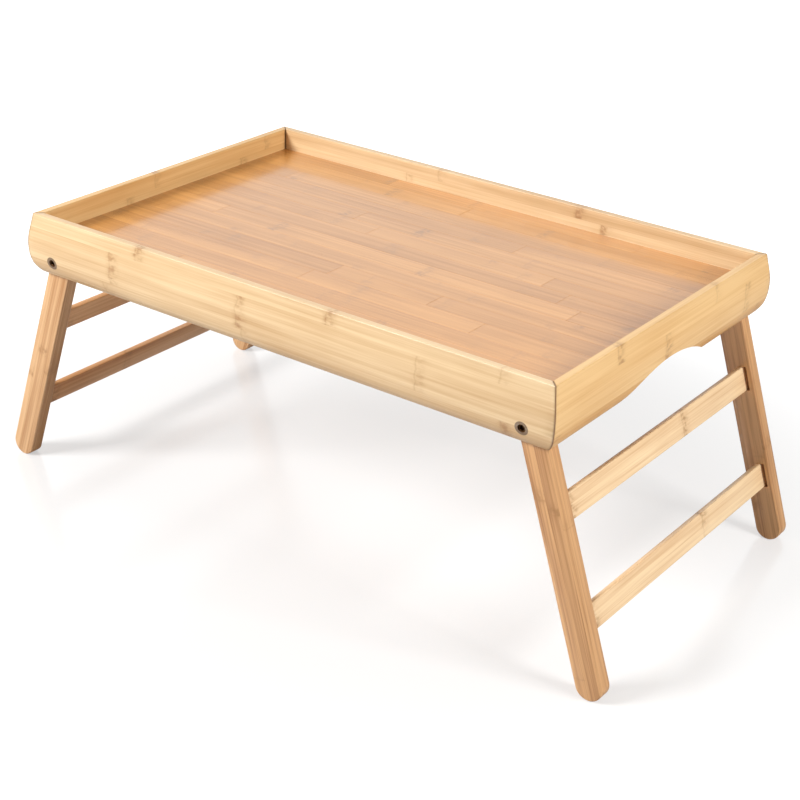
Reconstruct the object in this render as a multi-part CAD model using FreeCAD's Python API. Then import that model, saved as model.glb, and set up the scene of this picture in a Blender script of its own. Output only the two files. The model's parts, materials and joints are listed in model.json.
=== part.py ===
import FreeCAD, Part
import math
import os

# Folding bamboo bed tray: a mitred tray with rounded walls on two folding leg frames.
# Origin on the floor under the middle of the tray, +Z up, +X to the right, the long front at -Y.
# All sizes in millimetres.

V = FreeCAD.Vector

# ---- overall sizes ----
tray_length = 500.0          # across the bulge of the two short walls
tray_width = 320.0           # across the bulge of the two long walls
tray_height = 235.0          # floor to the top edge of the walls

# ---- wall moulding ----
wall_height = 50.0
wall_top_thickness = 6.5     # flat top edge
wall_bulge = 3.6             # how far the bulge stands out past the top edge
bulge_drop = 25.0            # from the top edge down to the bulge
wall_foot_thickness = 2.5    # flat lower edge
wall_hip_thickness = 8.4     # thickness just above the turned-under foot
wall_hip_height = 9.5        # height of that point above the lower edge
top_edge_round = 0.9

# ---- panel in its groove ----
well_depth = 19.0            # top edge of the walls down to the panel
panel_thickness = 6.5
groove_depth = 4.0
panel_edge_gap = 0.5         # room for the panel to swell in its groove

# ---- finger arch under each short wall ----
arch_width = 148.0
arch_height = 18.0
arch_end_radius = 40.0       # reverse curve at each end of the arch

# ---- leg frames ----
splay_angle = 18.5           # degrees outwards from upright, when the legs stand open
leg_width = 21.6
leg_thickness = 12.0
leg_edge_round = 1.0
leg_top_clearance = 0.7      # between the rounded top of a leg and the panel
upper_rail_drop = 68.5       # pivot to the middle of the upper rail, along the leg
lower_rail_drop = 151.5
rail_height = 20.0
rail_thickness = 5.0
rail_out = 3.8               # outer face of a rail, out from the middle of the leg
rail_edge_round = 0.8
housing_depth = 5.0          # how far the rails are let into the legs
housing_stop = 4.0           # wood left between the housing and the outer edge of the leg

# ---- pivot hardware ----
bolt_diameter = 6.0
bolt_head_diameter = 9.6
bolt_head_height = 3.2
bolt_head_round = 0.8
bolt_socket_across = 4.0
bolt_socket_depth = 2.2
counterbore_diameter = 10.6
wood_behind_head = 4.8       # wall left between the bolt head and the inner face
bolt_hole_clearance = 0.1    # on the radius, in the wall and the washers
pivot_clearance = 0.05       # on the radius, between the leg and the bolt
side_play = 0.1              # each side of a leg, between it and the washers
spacer_thickness = 1.0
spacer_diameter = 15.0
washer_thickness = 1.2
washer_diameter = 13.0
nut_across = 10.0
nut_height = 5.0
nut_collar_height = 1.4      # locking collar on top of the hexagon
nut_collar_diameter = 8.2
bolt_end_margin = 0.6        # bolt end short of the top of the nut
stop_clearance = 0.15        # between an open leg and the wall that stops it

# ---- working allowances ----
cut_margin = 1.0             # how far a cutting shape runs past the face it opens
tiny = 1e-6                  # lengths closer than this are the same

# ---- places that follow from the sizes ----
inner_half_length = tray_length / 2 - wall_bulge - wall_top_thickness
inner_half_width = tray_width / 2 - wall_bulge - wall_top_thickness
wall_foot_z = tray_height - wall_height
panel_top_z = tray_height - well_depth
panel_bottom_z = panel_top_z - panel_thickness
leg_radius = leg_width / 2
splay = math.radians(splay_angle)
pivot_z = panel_bottom_z - leg_top_clearance - leg_radius
pivot_above_wall_foot = pivot_z - wall_foot_z
# The outer edge of an open leg bears on the inner lower edge of the short wall.
pivot_to_stop = (leg_radius + pivot_above_wall_foot * math.sin(splay)) / math.cos(splay)
pivot_x = inner_half_length - pivot_to_stop - stop_clearance
leg_reach = (pivot_z - leg_radius) / math.cos(splay)
leg_outer_y = inner_half_width - spacer_thickness - side_play
leg_inner_y = leg_outer_y - leg_thickness
rail_half_length = leg_inner_y + housing_depth
wall_run_out = 2 * (wall_top_thickness + wall_bulge)


def box(x0, x1, y0, y1, z0, z1):
    """A box between two corners."""
    return Part.makeBox(x1 - x0, y1 - y0, z1 - z0, V(x0, y0, z0))


def prism(points, depth):
    """A flat outline pushed along a vector."""
    return Part.Face(Part.makePolygon(points + points[:1])).extrude(depth)


def cylinder_y(radius, y0, y1, x, z):
    """A cylinder along Y between two planes."""
    return Part.makeCylinder(radius, y1 - y0, V(x, y0, z), V(0, 1, 0))


def hexagon_y(across_flats, y0, y1, x, z):
    """A hexagonal bar along Y between two planes."""
    corner = across_flats / math.sqrt(3)
    turns = [math.radians(60 * k) for k in range(6)]
    points = [V(x + corner * math.cos(a), y0, z + corner * math.sin(a)) for a in turns]
    return prism(points, V(0, y1 - y0, 0))


def half_turn(shape):
    """The same piece at the opposite corner or side of the tray."""
    turned = shape.copy()
    turned.rotate(V(0, 0, 0), V(0, 0, 1), 180)
    return turned


def moulding_section(inner_y):
    """Outline of a wall whose inner face is at y = -inner_y, in the YZ plane."""
    def at(out, up):
        return V(0, -inner_y - out, wall_foot_z + up)
    top_out = wall_top_thickness
    bulge_out = wall_top_thickness + wall_bulge
    bulge_up = wall_height - bulge_drop
    corner = top_edge_round * (1 - math.sqrt(0.5))
    inner_top = [at(0, wall_height - top_edge_round), at(corner, wall_height - corner),
                 at(top_edge_round, wall_height)]
    outer_top = [at(top_out - top_edge_round, wall_height),
                 at(top_out - corner, wall_height - corner),
                 at(top_out, wall_height - top_edge_round)]
    side_points = [outer_top[2], at(bulge_out, bulge_up),
                   at(wall_hip_thickness, wall_hip_height), at(wall_foot_thickness, 0)]
    # The bulge is the widest point, so the curve runs straight down there.
    side_directions = [V(0, -1, -1), V(0, 0, -1), V(0, 0, -1), V(0, 1, 0)]
    side = Part.BSplineCurve()
    side.interpolate(Points=side_points, Tangents=side_directions,
                     TangentFlags=[False, True, False, False])
    edges = [
        Part.LineSegment(at(0, 0), inner_top[0]).toShape(),
        Part.Arc(*inner_top).toShape(),
        Part.LineSegment(inner_top[2], outer_top[0]).toShape(),
        Part.Arc(*outer_top).toShape(),
        side.toShape(),
        Part.LineSegment(at(wall_foot_thickness, 0), at(0, 0)).toShape(),
    ]
    return Part.Face(Part.Wire(edges))


def mitred_wall(inner_half_run, inner_y):
    """A wall along X at -Y, grooved for the panel, its ends cut at 45 degrees."""
    reach = inner_half_run + wall_run_out
    section = moulding_section(inner_y)
    section.translate(V(-reach, 0, 0))
    wall = section.extrude(V(2 * reach, 0, 0))
    outline = [V(-inner_half_run, -inner_y, 0), V(inner_half_run, -inner_y, 0),
               V(reach, -inner_y - wall_run_out, 0), V(-reach, -inner_y - wall_run_out, 0)]
    wall = wall.common(prism(outline, V(0, 0, tray_height + cut_margin)))
    groove = box(-reach, reach, -inner_y - groove_depth, -inner_y + cut_margin,
                 panel_bottom_z, panel_top_z)
    return wall.cut(groove)


def long_wall():
    """The front wall, with its two pivot bolt holes."""
    wall = mitred_wall(inner_half_length, inner_half_width)
    head_seat_y = -inner_half_width - wood_behind_head
    for x in (-pivot_x, pivot_x):
        wall = wall.cut(cylinder_y(counterbore_diameter / 2, head_seat_y - wall_run_out,
                                   head_seat_y, x, pivot_z))
        wall = wall.cut(cylinder_y(bolt_diameter / 2 + bolt_hole_clearance,
                                   head_seat_y - cut_margin,
                                   -inner_half_width + cut_margin, x, pivot_z))
    return wall


def arch_outline(y_plane):
    """The finger arch in the XZ plane: one wide arc between two reverse arcs."""
    half = arch_width / 2
    rise = arch_height
    end = arch_end_radius
    # The wide arc meets each reverse arc on a common tangent.
    crown = (half ** 2 + rise ** 2) / (2 * rise) - end
    crown_z = rise - crown
    lean = math.atan2(half, end - crown_z)

    def at(x, z):
        return V(x, y_plane, wall_foot_z + z)

    def on_crown(angle):
        return at(crown * math.sin(angle), crown_z + crown * math.cos(angle))

    def on_end(side, angle):
        return at(side * (half - end * math.sin(angle)), end - end * math.cos(angle))
    below = -rise
    edges = [
        Part.Arc(at(-half, 0), on_end(-1, lean / 2), on_end(-1, lean)).toShape(),
        Part.Arc(on_end(-1, lean), on_crown(0), on_end(1, lean)).toShape(),
        Part.Arc(on_end(1, lean), on_end(1, lean / 2), at(half, 0)).toShape(),
        Part.LineSegment(at(half, 0), at(half, below)).toShape(),
        Part.LineSegment(at(half, below), at(-half, below)).toShape(),
        Part.LineSegment(at(-half, below), at(-half, 0)).toShape(),
    ]
    return Part.Face(Part.Wire(edges))


def short_wall():
    """The right wall, with its finger arch: made along X, then turned to face +X."""
    wall = mitred_wall(inner_half_width, inner_half_length)
    arch = arch_outline(-inner_half_length - wall_run_out).extrude(V(0, 2 * wall_run_out, 0))
    wall = wall.cut(arch)
    wall.rotate(V(0, 0, 0), V(0, 0, 1), 90)
    return wall


def tray_panel():
    """The laminated board, held on all four sides in the wall grooves."""
    half_length = inner_half_length + groove_depth - panel_edge_gap
    half_width = inner_half_width + groove_depth - panel_edge_gap
    return box(-half_length, half_length, -half_width, half_width, panel_bottom_z, panel_top_z)


def stand_open(shape):
    """Take a piece of the right frame from upright at the origin to its place on the tray."""
    placed = shape.copy()
    placed.rotate(V(0, 0, 0), V(0, 1, 0), -splay_angle)
    placed.translate(V(pivot_x, 0, pivot_z))
    return placed


def upright_leg():
    """The front leg of the right frame, hanging straight down from a pivot at the origin."""
    r = leg_radius
    edges = [
        Part.Arc(V(-r, 0, 0), V(0, 0, r), V(r, 0, 0)).toShape(),
        Part.LineSegment(V(r, 0, 0), V(r, 0, -leg_reach)).toShape(),
        Part.Arc(V(r, 0, -leg_reach), V(0, 0, -leg_reach - r), V(-r, 0, -leg_reach)).toShape(),
        Part.LineSegment(V(-r, 0, -leg_reach), V(-r, 0, 0)).toShape(),
    ]
    face = Part.Face(Part.Wire(edges))
    face.translate(V(0, -leg_outer_y, 0))
    leg = face.extrude(V(0, leg_thickness, 0))
    rims = [edge for edge in leg.Edges if edge.BoundBox.YLength < tiny]
    leg = leg.makeFillet(leg_edge_round, rims)
    leg = leg.cut(cylinder_y(bolt_diameter / 2 + pivot_clearance, -leg_outer_y - cut_margin,
                             -leg_inner_y + cut_margin, 0, 0))
    for drop in (upper_rail_drop, lower_rail_drop):
        housing = box(rail_out - rail_thickness, r - housing_stop,
                      -leg_inner_y - housing_depth, -leg_inner_y + cut_margin,
                      -drop - rail_height / 2, -drop + rail_height / 2)
        leg = leg.cut(housing)
    return leg


def upright_rail(drop):
    """A rail of the right frame, a thin slat on the inner side of its housings."""
    rail = box(rail_out - rail_thickness, rail_out, -rail_half_length, rail_half_length,
               -drop - rail_height / 2, -drop + rail_height / 2)
    long_edges = [edge for edge in rail.Edges if edge.BoundBox.YLength > rail_half_length]
    return rail.makeFillet(rail_edge_round, long_edges)


def mirrored_in_y(shape):
    """The same piece on the other leg of the frame."""
    return shape.mirror(V(0, 0, 0), V(0, 1, 0))


def pivot_bolt():
    """Socket-headed bolt through the front wall and the front leg of the right frame."""
    head_seat_y = -inner_half_width - wood_behind_head
    head_top_y = head_seat_y - bolt_head_height
    nut_seat_y = -leg_inner_y + side_play + washer_thickness
    end_y = nut_seat_y + nut_height + nut_collar_height - bolt_end_margin
    head = cylinder_y(bolt_head_diameter / 2, head_top_y, head_seat_y, pivot_x, pivot_z)
    rim = [edge for edge in head.Edges if abs(edge.BoundBox.YMax - head_top_y) < tiny]
    head = head.makeFillet(min(bolt_head_round, bolt_head_height / 2), rim)
    shank = cylinder_y(bolt_diameter / 2, head_seat_y, end_y, pivot_x, pivot_z)
    socket = hexagon_y(bolt_socket_across, head_top_y - cut_margin,
                       head_top_y + bolt_socket_depth, pivot_x, pivot_z)
    return head.fuse(shank).removeSplitter().cut(socket)


def ring(outer_diameter, y0, y1):
    """A washer on the pivot bolt."""
    hole = cylinder_y(bolt_diameter / 2 + bolt_hole_clearance, y0 - cut_margin, y1 + cut_margin,
                      pivot_x, pivot_z)
    return cylinder_y(outer_diameter / 2, y0, y1, pivot_x, pivot_z).cut(hole)


def spacer_washer():
    """Thin washer between the wall and the leg."""
    return ring(spacer_diameter, -inner_half_width, -inner_half_width + spacer_thickness)


def nut_washer():
    """Washer under the lock nut, on the inner face of the leg."""
    y0 = -leg_inner_y + side_play
    return ring(washer_diameter, y0, y0 + washer_thickness)


def lock_nut():
    """Hexagon lock nut with its round locking collar, threaded on the bolt."""
    y0 = -leg_inner_y + side_play + washer_thickness
    y1 = y0 + nut_height
    body = hexagon_y(nut_across, y0, y1, pivot_x, pivot_z)
    collar = cylinder_y(nut_collar_diameter / 2, y0, y1 + nut_collar_height, pivot_x, pivot_z)
    thread = cylinder_y(bolt_diameter / 2, y0 - cut_margin, y1 + nut_collar_height + cut_margin,
                        pivot_x, pivot_z)
    return body.fuse(collar).removeSplitter().cut(thread)


def build_nodes():
    """Every separate piece of the tray table, by name."""
    nodes = {"tray_panel": tray_panel()}
    nodes["front_wall"] = long_wall()
    nodes["back_wall"] = half_turn(nodes["front_wall"])
    nodes["right_wall"] = short_wall()
    nodes["left_wall"] = half_turn(nodes["right_wall"])

    nodes["front_right_leg"] = stand_open(upright_leg())
    nodes["back_right_leg"] = stand_open(mirrored_in_y(upright_leg()))
    nodes["right_upper_rail"] = stand_open(upright_rail(upper_rail_drop))
    nodes["right_lower_rail"] = stand_open(upright_rail(lower_rail_drop))
    nodes["back_left_leg"] = half_turn(nodes["front_right_leg"])
    nodes["front_left_leg"] = half_turn(nodes["back_right_leg"])
    nodes["left_upper_rail"] = half_turn(nodes["right_upper_rail"])
    nodes["left_lower_rail"] = half_turn(nodes["right_lower_rail"])

    hardware = {"pivot_bolt": pivot_bolt(), "spacer_washer": spacer_washer(),
                "nut_washer": nut_washer(), "lock_nut": lock_nut()}
    for name, shape in hardware.items():
        nodes["front_right_" + name] = shape
        nodes["back_right_" + name] = mirrored_in_y(shape)
        nodes["back_left_" + name] = half_turn(shape)
        nodes["front_left_" + name] = half_turn(mirrored_in_y(shape))
    return nodes


os.makedirs("parts", exist_ok=True)
for name, shape in build_nodes().items():
    shape.exportStep("parts/" + name + ".step")
    size = shape.BoundBox
    print("%-26s solids %d valid %s volume %.0f  x %.1f..%.1f  y %.1f..%.1f  z %.1f..%.1f" % (
        name, len(shape.Solids), shape.isValid(), shape.Volume,
        size.XMin, size.XMax, size.YMin, size.YMax, size.ZMin, size.ZMax))
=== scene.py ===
# %% [markdown]
# # A folding bamboo bed tray
# The real object is a shallow tray of four mitred bamboo mouldings round a laminated board. It
# stands on two leg frames that fold flat under it on four sunken bolts. The frame that is loaded
# here holds the exact sizes and the two folding joints. This lesson builds the surfaces that the
# eye meets: rounded mouldings, a board of glued strips, soft-edged legs, and lacquered bamboo with
# its fibres and growth rings. Everything is in metres.

# %% Load the frame
import bmesh
import bpy
import json
import math
from mathutils import Matrix, Vector
from mathutils.geometry import interpolate_bezier


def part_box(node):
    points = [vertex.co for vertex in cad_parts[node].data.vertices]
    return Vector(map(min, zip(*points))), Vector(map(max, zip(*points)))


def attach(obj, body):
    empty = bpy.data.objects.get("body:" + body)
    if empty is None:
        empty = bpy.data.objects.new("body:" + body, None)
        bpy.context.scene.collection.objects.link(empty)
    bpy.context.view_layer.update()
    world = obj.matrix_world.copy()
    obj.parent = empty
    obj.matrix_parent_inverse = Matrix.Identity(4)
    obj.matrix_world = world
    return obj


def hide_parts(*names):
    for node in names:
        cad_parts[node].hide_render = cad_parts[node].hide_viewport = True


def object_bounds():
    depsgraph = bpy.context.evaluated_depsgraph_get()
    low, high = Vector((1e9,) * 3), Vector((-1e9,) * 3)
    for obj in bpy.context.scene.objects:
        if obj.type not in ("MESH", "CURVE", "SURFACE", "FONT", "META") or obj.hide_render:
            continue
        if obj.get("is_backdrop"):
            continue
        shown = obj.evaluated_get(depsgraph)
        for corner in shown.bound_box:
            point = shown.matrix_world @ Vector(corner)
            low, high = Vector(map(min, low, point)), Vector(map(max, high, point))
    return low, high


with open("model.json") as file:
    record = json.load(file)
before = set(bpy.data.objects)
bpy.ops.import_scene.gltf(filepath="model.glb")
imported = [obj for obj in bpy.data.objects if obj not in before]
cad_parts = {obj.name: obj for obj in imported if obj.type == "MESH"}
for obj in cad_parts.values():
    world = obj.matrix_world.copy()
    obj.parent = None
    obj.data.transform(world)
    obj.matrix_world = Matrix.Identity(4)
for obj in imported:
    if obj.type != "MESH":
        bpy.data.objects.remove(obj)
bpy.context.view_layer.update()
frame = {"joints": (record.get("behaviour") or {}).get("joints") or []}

# %% [markdown]
# ## Sizes that everything else follows
# The walls, the board and the pivots are measured from the frame, so that each new piece lands
# exactly where its plain stand-in was. Only the small shapes that a box can't tell, such as the
# curve of a wall's side, are given as numbers.

# %% Measure the frame
MM = 0.001
wall_low, wall_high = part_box("front_wall")
INNER_Y = -wall_high.y
FOOT_Z = wall_low.z
TOP_Z = wall_high.z
WALL_HEIGHT = TOP_Z - FOOT_Z
INNER_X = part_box("right_wall")[0].x
board_low, board_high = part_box("tray_panel")
pivots = {joint["child"]: Vector(joint["pos_m"]) for joint in frame["joints"]}
PIVOT_X = pivots["right_leg_frame"].x
PIVOT_Z = pivots["right_leg_frame"].z
SPLAY = math.radians(18.5)
print("inner half sizes", round(INNER_X, 4), round(INNER_Y, 4), "pivot", round(PIVOT_X, 5), PIVOT_Z)

# %% [markdown]
# ## A short way to write node trees
# Geometry trees and shader trees are both nodes with sockets, so one small helper writes them.
# It makes a node, sets its options, and fills each input with a number or a link.


# %% Node helper
class Tree:
    """Adds nodes to a geometry or shader tree, one line each."""

    def __init__(self, tree):
        self.tree = tree

    def node(self, kind, inputs=None, **options):
        made = self.tree.nodes.new(kind)
        for option, value in options.items():
            setattr(made, option, value)
        for key, value in (inputs or {}).items():
            self.feed(made.inputs[key], value)
        return made

    def feed(self, socket, value):
        if isinstance(value, bpy.types.NodeSocket):
            self.tree.links.new(value, socket)
        else:
            socket.default_value = value

    def math(self, operation, *values):
        inputs = dict(enumerate(values))
        return self.node("ShaderNodeMath", inputs, operation=operation).outputs[0]

    def vector(self, x, y, z):
        return self.node("ShaderNodeCombineXYZ", {0: x, 1: y, 2: z}).outputs[0]

    def split(self, vector):
        return self.node("ShaderNodeSeparateXYZ", {0: vector}).outputs


def group_with(name, kind, inputs, outputs):
    """A node group with named sockets, and its input and output nodes."""
    group = bpy.data.node_groups.new(name, kind)
    for label, socket, value in inputs:
        made = group.interface.new_socket(label, in_out="INPUT", socket_type=socket)
        if value is not None:
            made.default_value = value
    for label, socket in outputs:
        group.interface.new_socket(label, in_out="OUTPUT", socket_type=socket)
    tree = Tree(group)
    return tree, tree.node("NodeGroupInput").outputs, tree.node("NodeGroupOutput").inputs


print("node helper ready")

# %% [markdown]
# ## Running a geometry tree
# A geometry tree is a recipe that stays live. To keep a plain mesh, the tree is put on an object
# as a modifier, its inputs are set by identifier, and the evaluated result is copied out. Normals
# are then turned outwards and every corner sharper than 35 degrees is kept crisp.

# %% From tree to mesh
CRISP = math.radians(35)


def new_object(name, mesh):
    made = bpy.data.objects.new(name, mesh)
    bpy.context.scene.collection.objects.link(made)
    return made


def mesh_from(name, build):
    """A mesh filled by a bmesh function."""
    mesh = bpy.data.meshes.new(name)
    work = bmesh.new()
    build(work)
    work.to_mesh(mesh)
    work.free()
    return mesh


def finished(live, name):
    """Replace a live object by a plain mesh object with its modifiers applied."""
    bpy.context.view_layer.update()
    ready = live.evaluated_get(bpy.context.evaluated_depsgraph_get())
    mesh = bpy.data.meshes.new_from_object(ready)
    live.modifiers.clear()
    bpy.data.objects.remove(live)
    work = bmesh.new()
    work.from_mesh(mesh)
    bmesh.ops.remove_doubles(work, verts=work.verts, dist=0.001 * MM)
    bmesh.ops.recalc_face_normals(work, faces=work.faces)
    work.to_mesh(mesh)
    work.free()
    mesh.polygons.foreach_set("use_smooth", [True] * len(mesh.polygons))
    mesh.set_sharp_from_angle(angle=CRISP)
    mesh.name = name
    return new_object(name, mesh)


def grow(name, tree, base, values, bevel=0.0):
    """Run a geometry tree on a base mesh with the named values."""
    live = new_object(name + "_live", base)
    modifier = live.modifiers.new("grow", "NODES")
    modifier.node_group = tree
    for item in tree.interface.items_tree:
        if item.item_type == "SOCKET" and item.in_out == "INPUT" and item.name in values:
            modifier[item.identifier] = values[item.name]
    if bevel:
        soften(live, bevel, 1)
    return finished(live, name)


def soften(live, width, segments):
    modifier = live.modifiers.new("soft_edge", "BEVEL")
    modifier.width = width
    modifier.segments = segments
    modifier.limit_method = "ANGLE"
    modifier.angle_limit = CRISP


def place(piece, body, slot, material, *nodes):
    """Give a finished piece its finish, its body and the frame nodes that it stands for."""
    if material:
        piece.data.materials.clear()
        piece.data.materials.append(material)
    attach(piece, body)
    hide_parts(*nodes)
    print(piece.name, "on", body, len(piece.data.polygons), "faces")


# %% [markdown]
# ## Bamboo
# Bamboo board is glued from strips. Each strip has its own tone, fine dark fibres along its
# length, and a growth ring every hand's width: a thin darker line with a mottled patch beside it.
# One shader group makes this for every piece. It takes a vector whose X runs along the fibres, Y
# across the strips and Z into the wood, so each material only turns its own coordinates.


# %% Bamboo group
RING_BROWN = (0.36, 0.17, 0.055, 1)


def bamboo_group():
    tree, given, out = group_with("Bamboo", "ShaderNodeTree", [
        ("Vector", "NodeSocketVector", None),
        ("Strip Width", "NodeSocketFloat", 0.02),
        ("Ring Spacing", "NodeSocketFloat", 0.2),
        ("Strip Contrast", "NodeSocketFloat", 0.5),
        ("Ring Strength", "NodeSocketFloat", 1.0),
        ("Streak Strength", "NodeSocketFloat", 1.0),
        ("Seed", "NodeSocketFloat", 0.0),
        ("Pale", "NodeSocketColor", (0.9, 0.7, 0.45, 1)),
        ("Deep", "NodeSocketColor", (0.7, 0.42, 0.18, 1)),
    ], [
        ("Color", "NodeSocketColor"),
        ("Roughness", "NodeSocketFloat"),
        ("Height", "NodeSocketFloat"),
    ])
    m = tree.math
    along, across, depth = tree.split(given["Vector"])
    seed = given["Seed"]
    strip = m("FLOOR", m("ADD", m("DIVIDE", across, given["Strip Width"]), m("MULTIPLY", seed, 0.37)))
    layer = m("FLOOR", m("ADD", m("MULTIPLY", depth, 10.0), 0.25))
    pick = tree.node("ShaderNodeTexWhiteNoise", {"Vector": tree.vector(strip, layer, seed)})
    tone, shift, _ = tree.split(pick.outputs["Color"])

    # Each strip reads its own stretch of the noise, so the grain breaks at the glue lines.
    local = tree.vector(m("ADD", along, m("MULTIPLY", shift, 7.0)), across,
                        m("ADD", depth, m("MULTIPLY", tone, 3.0)))

    def noise(stretch, detail, roughness=0.5):
        moved = tree.node("ShaderNodeVectorMath", {0: local, 1: stretch}, operation="MULTIPLY")
        made = tree.node("ShaderNodeTexNoise", {"Vector": moved.outputs[0], "Scale": 1.0,
                                                "Detail": detail, "Roughness": roughness})
        return made.outputs[0]

    fine = noise((14.0, 950.0, 950.0), 2.0)
    streak = noise((5.0, 260.0, 260.0), 3.0, 0.6)
    cloud = noise((9.0, 34.0, 34.0), 2.0)
    speck = noise((260.0, 700.0, 700.0), 2.0)
    wander = noise((30.0, 120.0, 120.0), 1.0)

    # The growth rings: where along the strip, and how far from the nearest one.
    count = m("ADD", m("DIVIDE", along, given["Ring Spacing"]), m("MULTIPLY", shift, 5.0))
    cell = m("FLOOR", count)
    jitter = tree.node("ShaderNodeTexWhiteNoise",
                       {"Vector": tree.vector(cell, strip, m("ADD", layer, seed))}).outputs["Value"]
    middle = m("ADD", 0.5, m("MULTIPLY", m("SUBTRACT", jitter, 0.5), 0.5))
    away = m("MULTIPLY", m("SUBTRACT", m("FRACT", count), middle), given["Ring Spacing"])
    away = m("ADD", away, m("MULTIPLY", m("SUBTRACT", wander, 0.5), 0.006))

    def bump_at(offset, width):
        share = m("DIVIDE", m("SUBTRACT", away, offset), width)
        return m("EXPONENT", m("MULTIPLY", m("MULTIPLY", share, share), -1.0))

    dashes = tree.node("ShaderNodeMapRange", {0: noise((190.0, 330.0, 330.0), 2.0), 1: 0.38, 2: 0.66},
                       interpolation_type="SMOOTHSTEP").outputs[0]
    blotch = tree.node("ShaderNodeMapRange", {0: cloud, 1: 0.36, 2: 0.62},
                       interpolation_type="SMOOTHSTEP").outputs[0]
    line = m("MULTIPLY", bump_at(0.0, 0.0007), m("MULTIPLY", speck, 1.2))
    patch = m("MULTIPLY", bump_at(0.003, 0.0046), m("MULTIPLY", m("ADD", 0.25, dashes),
                                                    m("ADD", 0.25, blotch)))
    ring = m("MULTIPLY", given["Ring Strength"],
             m("ADD", m("MULTIPLY", line, 0.32), m("MULTIPLY", patch, 0.55)))

    grain = m("ADD", m("MULTIPLY", m("SUBTRACT", streak, 0.5), 1.5),
              m("MULTIPLY", m("SUBTRACT", fine, 0.5), 0.8))
    grain = m("MULTIPLY", grain, given["Streak Strength"])
    grain = m("ADD", grain, m("MULTIPLY", m("SUBTRACT", cloud, 0.5), 0.9))
    toned = m("MULTIPLY", m("SUBTRACT", tone, 0.5), given["Strip Contrast"])
    share = tree.node("ShaderNodeClamp", {0: m("ADD", 0.42, m("ADD", grain, toned))}).outputs[0]
    wood = tree.node("ShaderNodeMix", {"Factor": share, "A": given["Pale"], "B": given["Deep"]},
                     data_type="RGBA")
    ringed = tree.node("ShaderNodeMix", {"Factor": ring, "A": wood.outputs["Result"],
                                         "B": RING_BROWN}, data_type="RGBA")
    tree.feed(out["Color"], ringed.outputs["Result"])
    tree.feed(out["Roughness"], m("ADD", 0.36, m("MULTIPLY", streak, 0.14)))
    tree.feed(out["Height"], m("ADD", m("MULTIPLY", fine, 0.6), m("MULTIPLY", line, 0.8)))
    return tree.tree


bamboo = bamboo_group()
print("bamboo group", len(bamboo.nodes), "nodes")

# %% [markdown]
# ## Finishes
# Every wooden piece has the same lacquer: a satin coat over wood whose tone comes from the group.
# What differs is which way the fibres run. Walls run along X or Y, a leg runs along its own
# slope, and a rail runs from leg to leg, so a finish names the order of its axes and, for a
# sloping piece, the place and turn of its frame. The board's strips carry a random number each.
# The legs and rails of the two frames also carry painted light: lit and shaded copies of one bamboo.
# Two small masks finish the walls: a fine dark line along each mitre, and painted shade in the
# recess round each bolt. They could be painted on, but both follow from places that are already known.


# %% Wood finishes
def new_finish(name):
    material = bpy.data.materials.new(name)
    material.use_nodes = True
    material.node_tree.nodes.clear()
    return material, Tree(material.node_tree)


def hexed(text):
    """A colour written as on a paint chart, as linear light."""
    channels = [int(text[k:k + 2], 16) / 255 for k in (0, 2, 4)]
    return (*(c / 12.92 if c < 0.04045 else ((c + 0.055) / 1.055) ** 2.4 for c in channels), 1)


def lacquer(tree, color, roughness, normal, coat, coat_roughness):
    shader = tree.node("ShaderNodeBsdfPrincipled", {
        "Base Color": color, "Roughness": roughness, "Normal": normal,
        "Coat Weight": coat, "Coat Roughness": coat_roughness, "Coat IOR": 1.5,
    })
    tree.node("ShaderNodeOutputMaterial", {"Surface": shader.outputs[0]})


MITRE_WIDTH = 1.0 * MM
MITRE_SHARE = 0.8
MITRE_BROWN = hexed("5A3212")
# Painted shade: the recess round each bolt is darkened in the wall's colour, standing in for the shadow
# inside it.
RECESS_SHADE_EDGE = 5.5 * MM
RECESS_SHADE_FULL = 5.2 * MM
RECESS_SHADE_SHARE = 0.8
RECESS_SHADE_BROWN = hexed("4A2A12")


def mitre_line(tree, place, color):
    """Darkens a hair's width each side of the mitre plane, as glue and shadow do."""
    x, y, _ = tree.split(place)
    past = [tree.math("SUBTRACT", tree.math("ABSOLUTE", value), inner)
            for value, inner in ((x, INNER_X), (y, INNER_Y))]
    away = tree.math("DIVIDE", tree.math("SUBTRACT", *past), MITRE_WIDTH)
    share = tree.math("EXPONENT", tree.math("MULTIPLY", tree.math("MULTIPLY", away, away), -1.0))
    return tree.node("ShaderNodeMix", {"Factor": tree.math("MULTIPLY", share, MITRE_SHARE),
                                       "A": color, "B": MITRE_BROWN}, data_type="RGBA").outputs["Result"]


def recess_painted_shade(tree, place, color):
    """Darkens the sunken recess round each bolt: painted shade, where the recess lies in shadow."""
    x, _, z = tree.split(place)
    from_bolt = [tree.math("SUBTRACT", tree.math("ABSOLUTE", x), PIVOT_X),
                 tree.math("SUBTRACT", z, PIVOT_Z)]
    far = tree.math("SQRT", tree.math("ADD", *(tree.math("MULTIPLY", d, d) for d in from_bolt)))
    inside = tree.node("ShaderNodeMapRange", {0: far, 1: RECESS_SHADE_EDGE, 2: RECESS_SHADE_FULL,
                                                3: 0.0, 4: RECESS_SHADE_SHARE})
    return tree.node("ShaderNodeMix", {"Factor": inside.outputs[0], "A": color,
                                       "B": RECESS_SHADE_BROWN}, data_type="RGBA").outputs["Result"]


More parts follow.
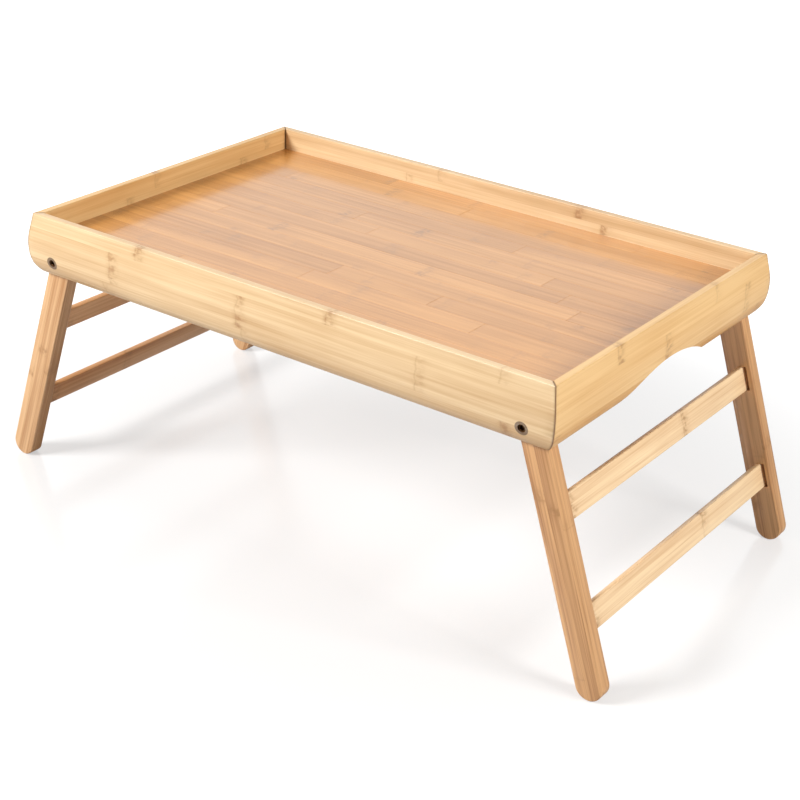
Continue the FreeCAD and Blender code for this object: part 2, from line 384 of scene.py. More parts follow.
def bamboo_finish(name, order, values, turned=None, coat=0.3, coat_roughness=0.22, mitred=False):
    """A lacquered bamboo whose axes are read in the given order: along, across, depth."""
    material, tree = new_finish(name)
    place = object_place = tree.node("ShaderNodeTexCoord").outputs["Object"]
    if turned:
        centre, angle = turned
        place = tree.node("ShaderNodeMapping", {"Vector": place, "Location": centre,
                                                "Rotation": (0, angle, 0)},
                          vector_type="TEXTURE").outputs[0]
    axes = dict(zip("xyz", tree.split(place)))
    wood = tree.node("ShaderNodeGroup", node_tree=bamboo)
    tree.feed(wood.inputs["Vector"], tree.vector(*(axes[letter] for letter in order)))
    for label, value in values.items():
        if label == "Seed" and isinstance(value, str):
            value = tree.math("MULTIPLY", 61.0, tree.node(
                "ShaderNodeAttribute", attribute_name=value).outputs["Fac"])
        tree.feed(wood.inputs[label], value)
    relief = tree.node("ShaderNodeBump", {"Height": wood.outputs["Height"], "Strength": 0.35,
                                          "Distance": 0.15 * MM})
    color = wood.outputs["Color"]
    if mitred:
        # The mitre line, then the painted shade in the bolt recesses.
        color = recess_painted_shade(tree, object_place, mitre_line(tree, object_place, color))
    lacquer(tree, color, wood.outputs["Roughness"], relief.outputs[0], coat, coat_roughness)
    return material


RIGHT_FRAME = ((PIVOT_X, 0, PIVOT_Z), -SPLAY)
LEFT_FRAME = ((-PIVOT_X, 0, PIVOT_Z), SPLAY)
long_wall_finish = bamboo_finish("long_wall_bamboo", "xzy", {
    "Strip Width": 0.026, "Ring Spacing": 0.17, "Seed": 1.0, "Streak Strength": 0.8,
    "Pale": hexed("E6C89C"), "Deep": hexed("BF9564")}, mitred=True)
short_wall_finish = bamboo_finish("short_wall_bamboo", "yzx", {
    "Strip Width": 0.024, "Ring Spacing": 0.15, "Seed": 2.0, "Streak Strength": 0.8,
    "Pale": hexed("E6BD82"), "Deep": hexed("C68E4A")}, mitred=True)
board_finish = bamboo_finish("board_bamboo", "xyz", {
    "Strip Width": 10.0, "Ring Spacing": 0.16, "Seed": "board", "Strip Contrast": 0.5,
    "Ring Strength": 1.1, "Streak Strength": 0.8, "Pale": hexed("D89A52"), "Deep": hexed("AA702E")},
    coat=1.0, coat_roughness=0.16)
# Painted light: the two frames are one bamboo, but the right legs are set darker and redder, the right
# rails paler and the left rails darker, as lit and shaded copies.
leg_bamboo_and_painted_light = {
    body: bamboo_finish(body + "_leg_bamboo", "zxy", {
        "Strip Width": 0.0095, "Ring Spacing": 0.16, "Seed": seed, "Streak Strength": 1.5,
        "Pale": hexed(pale), "Deep": hexed(deep)}, turned)
    for body, seed, pale, deep, turned in (("right", 3.0, "D4A26E", "9A6436", RIGHT_FRAME),
                                           ("left", 4.0, "DAAE7E", "B07C4A", LEFT_FRAME))}
rail_bamboo_and_painted_light = {
    body: bamboo_finish(body + "_rail_bamboo", "yzx", {
        "Strip Width": 0.3, "Ring Spacing": 0.15, "Seed": seed,
        "Pale": hexed(pale), "Deep": hexed(deep)}, turned)
    for body, seed, pale, deep, turned in (("right", 5.0, "F5D6AA", "CE9E6C", RIGHT_FRAME),
                                           ("left", 6.0, "E8B884", "C08450", LEFT_FRAME))}
print("wood finishes", len(bpy.data.materials))

# %% [markdown]
# ## Metal and nylon
# The bolts are steel with a dark bronze finish, mottled brighter in places.
# The nuts and their washers are plain zinc, and the spacers are white nylon. Each gets fine
# scratches or mottling from noise, because a flat colour reads as a toy.


# %% Hardware finishes
def hardware_finish(name, dark, light, scale, metallic, roughness, spread):
    material, tree = new_finish(name)
    place = tree.node("ShaderNodeTexCoord").outputs["Object"]
    mottle = tree.node("ShaderNodeTexNoise", {"Vector": place, "Scale": scale, "Detail": 4.0,
                                              "Roughness": 0.6}).outputs[0]
    color = tree.node("ShaderNodeMix", {"Factor": mottle, "A": dark, "B": light},
                      data_type="RGBA").outputs["Result"]
    rough = tree.math("ADD", roughness, tree.math("MULTIPLY", mottle, spread))
    relief = tree.node("ShaderNodeBump", {"Height": mottle, "Strength": 0.3,
                                          "Distance": 0.05 * MM})
    shader = tree.node("ShaderNodeBsdfPrincipled", {
        "Base Color": color, "Roughness": rough, "Metallic": metallic,
        "Normal": relief.outputs[0]})
    tree.node("ShaderNodeOutputMaterial", {"Surface": shader.outputs[0]})
    return material


bronze_finish = hardware_finish("bronzed_bolt_steel", hexed("3A2414"), hexed("7A5636"),
                                900.0, 1.0, 0.35, 0.2)
zinc_finish = hardware_finish("zinc_nut_steel", hexed("9A9B9C"), hexed("C4C5C6"),
                              1200.0, 1.0, 0.3, 0.25)
nylon_finish = hardware_finish("spacer_white_nylon", hexed("D9D8D2"), hexed("E8E7E2"),
                               700.0, 0.0, 0.45, 0.1)
print("hardware finishes ready")

# %% [markdown]
# ## The wall moulding
# All four walls are one milled moulding: a flat top edge, a full rounded belly, and a foot that
# turns under. Its section is two small rounded corners at the top, three curved spans down the
# side, and the square groove that holds the board. The section could be swept in mesh code, but the
# walls follow one rule, so a geometry tree does it: sweep the section along a run, lean the ends
# over to 45 degrees, and cut the bolt recesses or the finger arch.

# %% The section of the wall
TOP_THICKNESS = 6.5 * MM
TOP_ROUND = 0.9 * MM
GROOVE_DEPTH = 4.0 * MM
BELLY_OUT = 10.1 * MM
BELLY_UP = 25.0 * MM
HIP = (8.4 * MM, 9.5 * MM)
FOOT_OUT = 2.5 * MM
SPAN_STEPS = 12
ROUND_HANDLE = 0.5523  # handle length that makes a quarter circle, as a share of its radius


def section_points():
    """The closed outline of a wall: X is outwards from the inner face, Y is up from the foot."""
    height = WALL_HEIGHT
    handle = TOP_ROUND * ROUND_HANDLE
    outer_x, shoulder_y = TOP_THICKNESS, height - TOP_ROUND
    spans = [
        ((0, shoulder_y), (0, shoulder_y + handle), (TOP_ROUND - handle, height), (TOP_ROUND, height)),
        ((outer_x - TOP_ROUND, height), (outer_x - TOP_ROUND + handle, height),
         (outer_x, shoulder_y + handle), (outer_x, shoulder_y)),
        ((outer_x, shoulder_y), (7.75 * MM, 41.1 * MM), (BELLY_OUT, 33.0 * MM), (BELLY_OUT, BELLY_UP)),
        ((BELLY_OUT, BELLY_UP), (BELLY_OUT, 19.8 * MM), (9.95 * MM, 14.7 * MM), HIP),
        (HIP, (7.45 * MM, 6.3 * MM), (5.6 * MM, 3.1 * MM), (FOOT_OUT, 0)),
    ]
    groove_low, groove_high = board_low.z - FOOT_Z, board_high.z - FOOT_Z
    outline = [(0, 0), (0, groove_low), (GROOVE_DEPTH, groove_low),
               (GROOVE_DEPTH, groove_high), (0, groove_high)]
    for span in spans:
        corners = [Vector((*point, 0)) for point in span]
        outline += [tuple(p)[:2] for p in interpolate_bezier(*corners, SPAN_STEPS)]
    return [p for k, p in enumerate(outline) if math.dist(p, outline[k - 1]) > 0.001 * MM]


def section_mesh(work):
    corners = [work.verts.new((x, y, 0)) for x, y in section_points()]
    for k, corner in enumerate(corners):
        work.edges.new((corners[k - 1], corner))


print("section", len(section_points()), "points")

# %% [markdown]
# The tree works in shares of the run, from -1 to 1. The last slice at each end is drawn in by a
# hair, which leaves the fine dark line that a glued mitre shows. The arch is a bar whose upper
# side follows one wide arc between two reverse arcs, and the recesses are stepped plugs.


# %% Moulding tree
PLUG_LENGTH = 30.0 * MM


def moulding_tree():
    tree, given, out = group_with("wall_moulding", "GeometryNodeTree", [
        ("Geometry", "NodeSocketGeometry", None),
        ("Half Run", "NodeSocketFloat", 0.2),
        ("Inner Face", "NodeSocketFloat", 0.1),
        ("Foot", "NodeSocketFloat", 0.1),
        ("Height", "NodeSocketFloat", 0.05),
        ("Slices", "NodeSocketInt", 120),
        ("Seam", "NodeSocketFloat", 0.0004),
        ("Has Arch", "NodeSocketBool", False),
        ("Arch Half Width", "NodeSocketFloat", 0.074),
        ("Arch Rise", "NodeSocketFloat", 0.018),
        ("Arch End Radius", "NodeSocketFloat", 0.040),
        ("Bolt Place", "NodeSocketFloat", 0.2),
        ("Bolt Height", "NodeSocketFloat", 0.2),
        ("Recess Radius", "NodeSocketFloat", 0.0053),
        ("Hole Radius", "NodeSocketFloat", 0.0031),
        ("Recess Floor", "NodeSocketFloat", 0.0048),
        ("Turn", "NodeSocketFloat", 0.0),
    ], [("Geometry", "NodeSocketGeometry")])
    m = tree.math
    section = tree.node("GeometryNodeMeshToCurve", {"Mesh": given["Geometry"]}).outputs[0]
    run = tree.node("GeometryNodeCurvePrimitiveLine", {"Start": (-1, 0, 0), "End": (1, 0, 0)})
    slices = tree.node("GeometryNodeResampleCurve", {"Curve": run.outputs[0],
                                                     "Count": given["Slices"]})
    swept = tree.node("GeometryNodeCurveToMesh", {
        "Curve": slices.outputs[0], "Profile Curve": section, "Fill Caps": True}).outputs[0]

    share, minus_out, minus_up = tree.split(tree.node("GeometryNodeInputPosition").outputs[0])
    outward, up = m("MULTIPLY", minus_out, -1.0), m("MULTIPLY", minus_up, -1.0)
    last_slice = m("GREATER_THAN", m("ABSOLUTE", share), 0.9999)
    next_slice = m("SUBTRACT", 1.0, m("DIVIDE", 3.0, given["Slices"]))
    beside_end = m("SUBTRACT", m("GREATER_THAN", m("ABSOLUTE", share), next_slice), last_slice)
    near_one = m("MULTIPLY", m("SIGN", share),
                 m("SUBTRACT", 1.0, m("DIVIDE", given["Seam"], given["Half Run"])))
    share = m("ADD", m("MULTIPLY", share, m("SUBTRACT", 1.0, beside_end)),
              m("MULTIPLY", near_one, beside_end))

    def drawn_in(value, centre):
        pull = m("MULTIPLY", m("SIGN", m("SUBTRACT", centre, value)), given["Seam"])
        return m("ADD", value, m("MULTIPLY", m("MULTIPLY", pull, 0.6), last_slice))

    outward_in = drawn_in(outward, TOP_THICKNESS / 2)
    up_in = drawn_in(up, m("MULTIPLY", given["Height"], 0.5))
    x = m("MULTIPLY", share, m("ADD", given["Half Run"], outward))
    y = m("SUBTRACT", m("MULTIPLY", outward_in, -1.0), given["Inner Face"])
    z = m("ADD", up_in, given["Foot"])
    wall = tree.node("GeometryNodeSetPosition",
                     {"Geometry": swept, "Position": tree.vector(x, y, z)}).outputs[0]

    # The arch: a bar as wide as the arch, its upper side raised to the curve.
    bar = tree.node("GeometryNodeMeshCube", {"Size": (2, 2, 2), "Vertices X": 97}).outputs[0]
    across, deep, side = tree.split(tree.node("GeometryNodeInputPosition").outputs[0])
    half, rise, end = given["Arch Half Width"], given["Arch Rise"], given["Arch End Radius"]
    crown = m("SUBTRACT", m("DIVIDE", m("ADD", m("MULTIPLY", half, half), m("MULTIPLY", rise, rise)),
                            m("MULTIPLY", rise, 2.0)), end)
    crown_z = m("SUBTRACT", rise, crown)
    lean = m("ARCTAN2", half, m("SUBTRACT", end, crown_z))
    arch_x = m("MULTIPLY", across, half)
    from_end = m("SUBTRACT", half, m("ABSOLUTE", arch_x))
    on_crown = m("ADD", crown_z, m("SQRT", m("SUBTRACT", m("MULTIPLY", crown, crown),
                                             m("MULTIPLY", arch_x, arch_x))))
    on_end = m("SUBTRACT", end, m("SQRT", m("SUBTRACT", m("MULTIPLY", end, end),
                                            m("MULTIPLY", from_end, from_end))))
    in_crown = m("LESS_THAN", m("ABSOLUTE", arch_x), m("MULTIPLY", crown, m("SINE", lean)))
    curve = m("ADD", m("MULTIPLY", on_crown, in_crown),
              m("MULTIPLY", on_end, m("SUBTRACT", 1.0, in_crown)))
    is_top = m("GREATER_THAN", side, 0.0)
    arch_z = m("SUBTRACT", m("MULTIPLY", curve, is_top),
               m("MULTIPLY", 0.01, m("SUBTRACT", 1.0, is_top)))
    arch = tree.node("GeometryNodeSetPosition", {"Geometry": bar, "Position": tree.vector(
        arch_x, m("SUBTRACT", m("MULTIPLY", deep, 0.03), given["Inner Face"]),
        m("ADD", arch_z, given["Foot"]))}).outputs[0]

    # The bolt recesses: a wide plug down to the recess floor, and a narrow one right through.
    plugs = tree.node("GeometryNodeJoinGeometry")
    for direction in (-1.0, 1.0):
        for radius, start in ((given["Recess Radius"], given["Recess Floor"]),
                              (given["Hole Radius"], -0.01)):
            plug = tree.node("GeometryNodeMeshCylinder", {"Vertices": 64, "Radius": radius,
                                                          "Depth": PLUG_LENGTH}).outputs[0]
            spot = tree.vector(m("MULTIPLY", given["Bolt Place"], direction),
                               m("SUBTRACT", m("MULTIPLY", given["Inner Face"], -1.0),
                                 m("ADD", start, PLUG_LENGTH / 2)), given["Bolt Height"])
            moved = tree.node("GeometryNodeTransform", {
                "Geometry": plug, "Translation": spot, "Rotation": (math.pi / 2, 0, 0)})
            tree.tree.links.new(moved.outputs[0], plugs.inputs[0])

    def cut(body, cutter):
        return tree.node("GeometryNodeMeshBoolean", {"Mesh 1": body, "Mesh 2": cutter},
                         operation="DIFFERENCE", solver="EXACT").outputs[0]

    recessed = cut(wall, plugs.outputs[0])
    arched = cut(wall, arch)
    picked = tree.node("GeometryNodeSwitch", {"Switch": given["Has Arch"], "False": recessed,
                                              "True": arched}, input_type="GEOMETRY").outputs[0]
    turned = tree.node("GeometryNodeTransform", {
        "Geometry": picked, "Rotation": tree.vector(0.0, 0.0, given["Turn"])}).outputs[0]
    real = tree.node("GeometryNodeRealizeInstances", {"Geometry": turned}).outputs[0]
    finish = tree.node("GeometryNodeSetMaterial", {"Geometry": real})
    tree.feed(out["Geometry"], finish.outputs[0])
    return tree.tree, finish


moulding, moulding_finish = moulding_tree()
print("moulding tree", len(moulding.nodes), "nodes")

# %% [markdown]
# The four walls are the same tree with other values: two lengths, and either recesses or an arch.

# %% Four walls
WALL_SLICES = 121
quarter = math.pi / 2
for name, half_run, inner_face, turn, finish in (
        ("front_wall", INNER_X, INNER_Y, 0.0, long_wall_finish),
        ("right_wall", INNER_Y, INNER_X, quarter, short_wall_finish),
        ("back_wall", INNER_X, INNER_Y, 2 * quarter, long_wall_finish),
        ("left_wall", INNER_Y, INNER_X, 3 * quarter, short_wall_finish)):
    moulding_finish.inputs["Material"].default_value = finish
    wall = grow(name + "_moulding", moulding, mesh_from(name, section_mesh), {
        "Half Run": half_run, "Inner Face": inner_face, "Foot": FOOT_Z, "Height": WALL_HEIGHT,
        "Has Arch": finish is short_wall_finish, "Bolt Place": PIVOT_X, "Bolt Height": PIVOT_Z,
        "Slices": WALL_SLICES, "Turn": turn})
    place(wall, "tray", "wall_bamboo", finish, name)

# %% [markdown]
# ## The board
# The board is glued from long strips, each broken by butt joints at random. A texture could draw
# the joints, but real strips catch the light along their edges, so a tree lays separate strips
# and gives each a random number that the finish reads for its tone and grain. The joints in a row
# are random steps, so that no two rows break at the same place.


# %% Board tree
def board_tree():
    tree, given, out = group_with("glued_board", "GeometryNodeTree", [
        ("Geometry", "NodeSocketGeometry", None),
        ("Length", "NodeSocketFloat", 0.4),
        ("Width", "NodeSocketFloat", 0.3),
        ("Thickness", "NodeSocketFloat", 0.006),
        ("Bottom", "NodeSocketFloat", 0.2),
        ("Rows", "NodeSocketInt", 14),
        ("Strip Length", "NodeSocketFloat", 0.2),
        ("Seed", "NodeSocketInt", 7),
    ], [("Geometry", "NodeSocketGeometry")])
    m = tree.math
    columns = m("ADD", m("CEIL", m("DIVIDE", given["Length"], given["Strip Length"])), 1.0)
    index = tree.node("GeometryNodeInputIndex").outputs[0]
    row = m("FLOOR", m("DIVIDE", m("ADD", index, 0.5), columns))
    column = m("SUBTRACT", index, m("MULTIPLY", row, columns))
    half = m("MULTIPLY", given["Length"], 0.5)

    def joint(number):
        """Where the joint before the numbered strip of this row is."""
        pick = tree.node("FunctionNodeRandomValue", {
            "ID": m("ADD", number, m("MULTIPLY", row, 97.0)), "Seed": given["Seed"]},
            data_type="FLOAT").outputs[1]
        steps = m("ADD", m("SUBTRACT", number, 1.0), m("MULTIPLY", pick, 0.85))
        at = m("SUBTRACT", m("MULTIPLY", steps, given["Strip Length"]), half)
        return m("MINIMUM", m("MAXIMUM", at, m("MULTIPLY", half, -1.0)), half)

    start, stop = joint(column), joint(m("ADD", column, 1.0))
    strip_width = m("DIVIDE", given["Width"], given["Rows"])
    middle_y = m("SUBTRACT", m("MULTIPLY", strip_width, m("ADD", row, 0.5)),
                 m("MULTIPLY", given["Width"], 0.5))
    middle_z = m("ADD", given["Bottom"], m("MULTIPLY", given["Thickness"], 0.5))
    length = m("SUBTRACT", stop, start)
    centre = tree.vector(m("MULTIPLY", m("ADD", start, stop), 0.5), middle_y, middle_z)
    spots = tree.node("GeometryNodePoints", {"Count": m("MULTIPLY", columns, given["Rows"]),
                                             "Position": centre}).outputs[0]
    block = tree.node("GeometryNodeMeshCube", {"Size": (1, 1, 1)}).outputs[0]
    strips = tree.node("GeometryNodeInstanceOnPoints", {
        "Points": spots, "Instance": block, "Selection": m("GREATER_THAN", length, 1.0 * MM),
        "Scale": tree.vector(length, strip_width, given["Thickness"])}).outputs[0]
    number = tree.node("FunctionNodeRandomValue", {"Seed": given["Seed"]}, data_type="FLOAT")
    marked = tree.node("GeometryNodeStoreNamedAttribute", {
        "Geometry": strips, "Name": "board", "Value": number.outputs[1]},
        data_type="FLOAT", domain="INSTANCE").outputs[0]
    real = tree.node("GeometryNodeRealizeInstances", {"Geometry": marked}).outputs[0]
    finish = tree.node("GeometryNodeSetMaterial", {"Geometry": real, "Material": board_finish})
    tree.feed(out["Geometry"], finish.outputs[0])
    return tree.tree


STRIP_EDGE = 0.15 * MM
STRIP_LENGTH = 0.31
BOARD_ROWS = 14
BOARD_SEED = 7
board_size = board_high - board_low
board = grow("tray_board", board_tree(), mesh_from("tray_board", lambda work: None), {
    "Length": board_size.x, "Width": board_size.y, "Thickness": board_size.z,
    "Bottom": board_low.z, "Rows": BOARD_ROWS, "Strip Length": STRIP_LENGTH,
    "Seed": BOARD_SEED}, bevel=STRIP_EDGE)
place(board, "tray", "panel_bamboo", board_finish, "tray_panel")

# %% [markdown]
# ## Legs and rails
# A leg is a flat bar with fully round ends and softened rims, so its outline is two half circles,
# pushed to its thickness and bevelled. Boolean cutters then sink the bolt hole and the housings
# that take the rails, because a housing's corners are crisp while the rims are soft. The rails are
# bars with soft edges. Both are made upright at the pivot and leaned out with the frame.

# %% Leg and rail shapes
LEG_WIDTH = 21.6 * MM
LEG_RADIUS = LEG_WIDTH / 2
LEG_REACH = (PIVOT_Z - LEG_RADIUS) / math.cos(SPLAY)
RAIL_DROPS = {"upper": 68.5 * MM, "lower": 151.5 * MM}
RAIL_HEIGHT = 20.0 * MM
RAIL_THICKNESS = 5.0 * MM
RAIL_OUT = 3.8 * MM
HOUSING_STOP = 4.0 * MM
HOUSING_DEPTH = 5.0 * MM
HOLE_RADIUS = 3.05 * MM
RIM_ROUND = 1.0 * MM
RAIL_ROUND = 0.8 * MM
OPEN_PAST = 2.0 * MM
END_STEPS = 32


def add_box(work, low, high):
    corners = bmesh.ops.create_cube(work, size=1.0)["verts"]
    low, high = Vector(low), Vector(high)
    for corner in corners:
        corner.co = Vector(lo + (hi - lo) * (c + 0.5) for lo, hi, c in zip(low, high, corner.co))


def leg_bar(work, near, far):
    """The round-ended bar between two planes of Y."""
    outline = []
    for centre_z, start in ((0.0, 0.0), (-LEG_REACH, math.pi)):
        for step in range(END_STEPS + 1):
            angle = start + math.pi * step / END_STEPS
            outline.append((LEG_RADIUS * math.cos(angle), centre_z + LEG_RADIUS * math.sin(angle)))
    rims = [[work.verts.new((x, y, z)) for x, z in outline] for y in (near, far)]
    work.faces.new(rims[0])
    work.faces.new(reversed(rims[1]))
    for k in range(len(outline)):
        work.faces.new((rims[0][k - 1], rims[1][k - 1], rims[1][k], rims[0][k]))


def leg_cutters(work, near, far, inner):
    """The bolt hole and two housings, sunk from the inner face."""
    hole = bmesh.ops.create_cone(work, cap_ends=True, segments=48, radius1=HOLE_RADIUS,
                                 radius2=HOLE_RADIUS, depth=far - near + 2 * OPEN_PAST)["verts"]
    turn = Matrix.Translation((0, (near + far) / 2, 0)) @ Matrix.Rotation(quarter, 4, "X")
    bmesh.ops.transform(work, matrix=turn, verts=hole)
    inwards = 1 if inner > (near + far) / 2 else -1
    edges = sorted((inner - inwards * HOUSING_DEPTH, inner + inwards * OPEN_PAST))
    for drop in RAIL_DROPS.values():
        add_box(work, (RAIL_OUT - RAIL_THICKNESS, edges[0], -drop - RAIL_HEIGHT / 2),
                (LEG_RADIUS - HOUSING_STOP, edges[1], -drop + RAIL_HEIGHT / 2))


def open_frame(side):
    """Takes an upright shape at the pivot to the open right (1) or left (-1) frame."""
    right = Matrix.Translation((PIVOT_X, 0, PIVOT_Z)) @ Matrix.Rotation(-SPLAY, 4, "Y")
    return right if side > 0 else Matrix.Rotation(math.pi, 4, "Z") @ right


print("leg reach", round(LEG_REACH, 5))

# %% [markdown]
# Each frame is made once upright at the pivot. The left one is the right one turned half round.

# %% Two frames
for side, frame_name in ((1, "right"), (-1, "left")):
    body = frame_name + "_leg_frame"
    for row, end in (("front", -1), ("back", 1)):
        node = f"{row}_{frame_name}_leg"
        # The left frame is the right one turned round, so its front leg is made at the back.
        made_end = end * side
        low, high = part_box(node)
        outer, inner = max(abs(low.y), abs(high.y)), min(abs(low.y), abs(high.y))
        near, far = sorted((made_end * outer, made_end * inner))
        live = new_object(node + "_live", mesh_from(node, lambda work: leg_bar(work, near, far)))
        cutter = new_object("cutter", mesh_from(
            "cutter", lambda work: leg_cutters(work, near, far, made_end * inner)))
        soften(live, RIM_ROUND, 3)
        sink = live.modifiers.new("housings", "BOOLEAN")
        sink.object = cutter
        sink.solver = "EXACT"
        leg = finished(live, node + "_bar")
        bpy.data.objects.remove(cutter)
        leg.data.transform(open_frame(side))
        place(leg, body, "leg_bamboo", leg_bamboo_and_painted_light[frame_name], node)
    for level, drop in RAIL_DROPS.items():
        node = f"{frame_name}_{level}_rail"
        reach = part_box(node)[1].y
        live = new_object(node + "_live", mesh_from(node, lambda work: add_box(
            work, (RAIL_OUT - RAIL_THICKNESS, -reach, -drop - RAIL_HEIGHT / 2),
            (RAIL_OUT, reach, -drop + RAIL_HEIGHT / 2))))
        soften(live, RAIL_ROUND, 3)
        rail = finished(live, node + "_bar")
        rail.data.transform(open_frame(side))
        place(rail, body, "rail_bamboo", rail_bamboo_and_painted_light[frame_name], node)

# %% [markdown]
# ## Bolts and nuts
# The four pivots are alike, so each piece of hardware is turned once, as rings of points round
# the bolt's axis, and a small tree sets a copy at each pivot, turned so that the head faces out.
# A ring can be round or six-sided, which gives the socket and the nut without any cutting.

# %% Turned hardware
RING_STEPS = 48
WOOD_BEHIND_HEAD = 4.8 * MM
HEAD_HEIGHT = 3.2 * MM
HEAD_SEAT_Y = -INNER_Y - WOOD_BEHIND_HEAD
HEAD_TOP_Y = HEAD_SEAT_Y - HEAD_HEIGHT
HEAD_RADIUS = 4.8 * MM
HEAD_ROUND = 0.8 * MM
SHANK_RADIUS = 3.0 * MM
SOCKET_HALF = 2.0 * MM
SOCKET_DEPTH = 2.2 * MM


def turned_shape(work, rings, closed):
    """Rings of (radius, y, six-sided) joined in order; a six-sided ring's radius is to its flats."""
    loops = []
    for radius, y, six_sided in rings:
        loop = []
        for step in range(RING_STEPS):
            angle = 2 * math.pi * step / RING_STEPS
            reach = radius
            if six_sided:
                reach = radius / math.cos((angle + math.pi / 6) % (math.pi / 3) - math.pi / 6)
            loop.append(work.verts.new((reach * math.cos(angle), y, reach * math.sin(angle))))
        loops.append(loop)
    pairs = list(zip(loops, loops[1:])) + ([(loops[-1], loops[0])] if closed else [])
    for first, second in pairs:
        for k in range(RING_STEPS):
            work.faces.new((first[k - 1], first[k], second[k], second[k - 1]))
    if not closed:
        work.faces.new(loops[0])
        work.faces.new(reversed(loops[-1]))


def bolt_shape(work):
    top, tip = HEAD_TOP_Y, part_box("front_right_pivot_bolt")[1].y
    chamfer = 0.15 * MM
    rounding = [(HEAD_RADIUS - HEAD_ROUND * (1 - math.sin(a)), top + HEAD_ROUND * (1 - math.cos(a)), 0)
                for a in (math.radians(15 * k) for k in range(7))]
    turned_shape(work, [
        (SOCKET_HALF * 0.5, top + SOCKET_DEPTH, 0), (SOCKET_HALF, top + SOCKET_DEPTH, 1),
        (SOCKET_HALF, top + chamfer, 1), (SOCKET_HALF + chamfer, top, 1), *rounding,
        (HEAD_RADIUS, HEAD_SEAT_Y, 0), (SHANK_RADIUS, HEAD_SEAT_Y, 0),
        (SHANK_RADIUS, tip - 2 * chamfer, 0), (SHANK_RADIUS - 2 * chamfer, tip, 0)], False)


def nut_shape(work):
    low, high = (corner.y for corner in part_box("front_right_lock_nut"))
    half, collar, chamfer = 5.0 * MM, 4.1 * MM, 0.4 * MM
    top = high - 1.4 * MM
    turned_shape(work, [
        (SHANK_RADIUS, low, 0), (half - chamfer, low, 0), (half, low + chamfer, 1),
        (half, top - chamfer, 1), (half - chamfer, top, 0), (collar, top, 0),
        (collar, high - chamfer, 0), (collar - chamfer, high, 0), (SHANK_RADIUS, high, 0)], True)


def washer_shape(node, radius, hole):
    low, high = (corner.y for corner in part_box(node))
    edge = 0.12 * MM
    return lambda work: turned_shape(work, [
        (hole, low, 0), (radius - edge, low, 0), (radius, low + edge, 0),
        (radius, high - edge, 0), (radius - edge, high, 0), (hole, high, 0)], True)


def pivot_tree():
    tree, given, out = group_with("at_each_pivot", "GeometryNodeTree", [
        ("Geometry", "NodeSocketGeometry", None),
        ("Pivot X", "NodeSocketFloat", 0.2),
        ("Pivot Z", "NodeSocketFloat", 0.2),
    ], [("Geometry", "NodeSocketGeometry")])
    m = tree.math
    index = tree.node("GeometryNodeInputIndex").outputs[0]
    side = m("SUBTRACT", m("MULTIPLY", m("MODULO", index, 2.0), 2.0), 1.0)
    at_back = m("GREATER_THAN", index, 1.5)
    spots = tree.node("GeometryNodePoints", {"Count": 4, "Position": tree.vector(
        m("MULTIPLY", side, given["Pivot X"]), 0.0, given["Pivot Z"])}).outputs[0]
    copies = tree.node("GeometryNodeInstanceOnPoints", {
        "Points": spots, "Instance": given["Geometry"],
        "Rotation": tree.vector(0.0, 0.0, m("MULTIPLY", at_back, math.pi))}).outputs[0]
    real = tree.node("GeometryNodeRealizeInstances", {"Geometry": copies}).outputs[0]
    finish = tree.node("GeometryNodeSetMaterial", {"Geometry": real})
    tree.feed(out["Geometry"], finish.outputs[0])
    return tree.tree, finish


# %% [markdown]
# One tree serves all four kinds of hardware, each with its own finish.

# %% Hardware at the pivots
at_pivots, hardware_material = pivot_tree()
CORNERS = [f"{row}_{side}_" for row in ("front", "back") for side in ("left", "right")]
for kind, shape, finish, slot in (
        ("pivot_bolt", bolt_shape, bronze_finish, "bronzed_steel"),
        ("lock_nut", nut_shape, zinc_finish, "zinc_steel"),
        ("nut_washer", washer_shape("front_right_nut_washer", 6.5 * MM, 3.1 * MM),
         zinc_finish, "zinc_steel"),
        ("spacer_washer", washer_shape("front_right_spacer_washer", 7.5 * MM, 3.1 * MM),
         nylon_finish, "spacer_nylon")):
    hardware_material.inputs["Material"].default_value = finish
    pieces = grow(kind + "s", at_pivots, mesh_from(kind, shape),
                  {"Pivot X": PIVOT_X, "Pivot Z": PIVOT_Z})
    place(pieces, "tray", slot, finish, *(corner + kind for corner in CORNERS))

# %% [markdown]
# ## Floor, light and camera
# The floor is a large, slightly glossy white sheet with painted light on it: a glow that only the
# camera sees, weakest under the tray and growing outwards, so soft shadows stay near the feet and
# the sheet fades into the background. Its base colour is 0.4 to the camera and 0.6 to bounced light.


# %% Floor
def white_floor():
    material, tree = new_finish("white_floor_painted_glow")
    place = tree.node("ShaderNodeTexCoord").outputs["Object"]
    haze = tree.node("ShaderNodeTexNoise", {"Vector": place, "Scale": 3.0}).outputs[0]
    seen = tree.node("ShaderNodeLightPath").outputs["Is Camera Ray"]
    from_middle = tree.node("ShaderNodeVectorMath", {0: place}, operation="LENGTH").outputs["Value"]
    # Painted light: a camera-only glow, half strength near the tray and full strength 0.8 m out.
    painted_glow = tree.node("ShaderNodeMapRange", {0: from_middle, 1: 0.25, 2: 0.8, 3: 0.5, 4: 1.0},
                     interpolation_type="SMOOTHSTEP").outputs[0]
    # Painted light: the sheet's base colour is 0.4 to the camera and 0.6 to light bounced onto the tray.
    shade = tree.math("SUBTRACT", 0.6, tree.math("MULTIPLY", seen, 0.2))
    shader = tree.node("ShaderNodeBsdfPrincipled", {
        "Base Color": tree.node("ShaderNodeCombineColor", {0: shade, 1: shade, 2: shade}).outputs[0],
        "Emission Color": (1, 1, 1, 1), "Emission Strength": tree.math("MULTIPLY", seen, painted_glow),
        "Roughness": tree.math("ADD", 0.16, tree.math("MULTIPLY", haze, 0.05))})
    tree.node("ShaderNodeOutputMaterial", {"Surface": shader.outputs[0]})
    return material


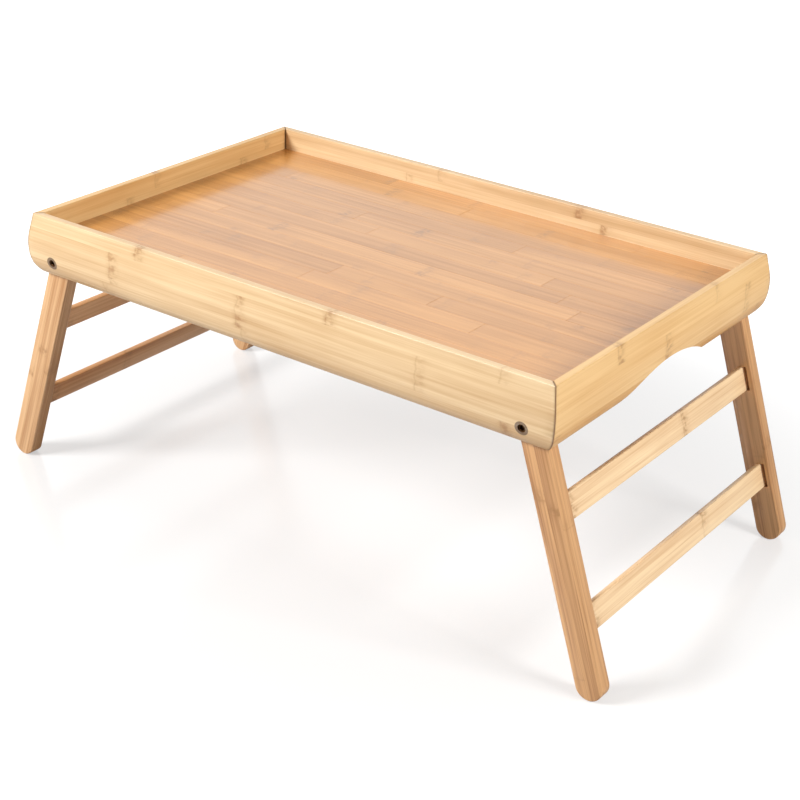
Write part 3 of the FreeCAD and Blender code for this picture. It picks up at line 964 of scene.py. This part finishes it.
FLOOR_HALF = 8.0
floor = new_object("floor_sheet", mesh_from("floor_sheet", lambda work: bmesh.ops.create_grid(
    work, x_segments=4, y_segments=4, size=FLOOR_HALF)))
floor.data.materials.append(white_floor())
floor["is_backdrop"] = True

# %% [markdown]
# A weak, slightly warm sky fills the shadows. Three soft boxes do the rest: a strong one at the
# front left, a small one at the right end, and a wide one behind that lays a sheen on the board.

# %% Light
world = bpy.data.worlds.new("studio")
world.use_nodes = True
world.node_tree.nodes.clear()
sky = Tree(world.node_tree)
seen = sky.node("ShaderNodeLightPath").outputs["Is Camera Ray"]
shade = sky.node("ShaderNodeBackground", {
    "Color": (1.0, 0.99, 0.975, 1),
    "Strength": sky.math("ADD", 0.24, sky.math("MULTIPLY", seen, 0.76))})
sky.node("ShaderNodeOutputWorld", {"Surface": shade.outputs[0]})
bpy.context.scene.world = world
TRAY_MIDDLE = Vector((0, 0, 0.15))
for name, spot, size, power in (("left_soft_box", (-1.0, -1.5, 1.35), 0.7, 54.0),
                                ("right_soft_box", (1.7, 0.05, 1.0), 0.6, 25.0),
                                ("back_soft_box", (-1.5, 2.1, 1.5), 2.5, 18.0)):
    lamp = bpy.data.lights.new(name, "AREA")
    lamp.size = size
    lamp.energy = power
    box = bpy.data.objects.new(name, lamp)
    box.location = spot
    box.visible_camera = False
    box.rotation_euler = (TRAY_MIDDLE - Vector(spot)).to_track_quat("-Z", "Y").to_euler()
    bpy.context.scene.collection.objects.link(box)
bpy.context.scene.view_settings.view_transform = "Standard"
print("three soft boxes")

# %% [markdown]
# The camera looks down on the table from its front right corner through a long lens, which keeps
# the far edges nearly parallel. A slight roll is part of the pose.

# %% Camera
CAMERA_PLACE = Vector((0.7502, -1.0299, 0.7160))
CAMERA_AIM = Vector((0.0444, -0.0484, 0.1200))
CAMERA_ROLL = 0.0348
FOCAL_LENGTH = 77.1
forward = (CAMERA_AIM - CAMERA_PLACE).normalized()
level = forward.cross(Vector((0, 0, 1))).normalized()
upward = level.cross(forward)
right_hand = math.cos(CAMERA_ROLL) * level + math.sin(CAMERA_ROLL) * upward
top_hand = math.cos(CAMERA_ROLL) * upward - math.sin(CAMERA_ROLL) * level
lens = bpy.data.cameras.new("camera")
lens.sensor_width = 36.0
lens.lens = FOCAL_LENGTH
camera = bpy.data.objects.new("camera", lens)
camera.matrix_world = Matrix.Translation(CAMERA_PLACE) @ Matrix(
    (right_hand, top_hand, -forward)).transposed().to_4x4()
bpy.context.scene.collection.objects.link(camera)
bpy.context.scene.camera = camera

# %% Print the visual box
bpy.context.view_layer.update()
low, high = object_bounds()
print("visual box", [round(v, 4) for v in (*low, *high)])
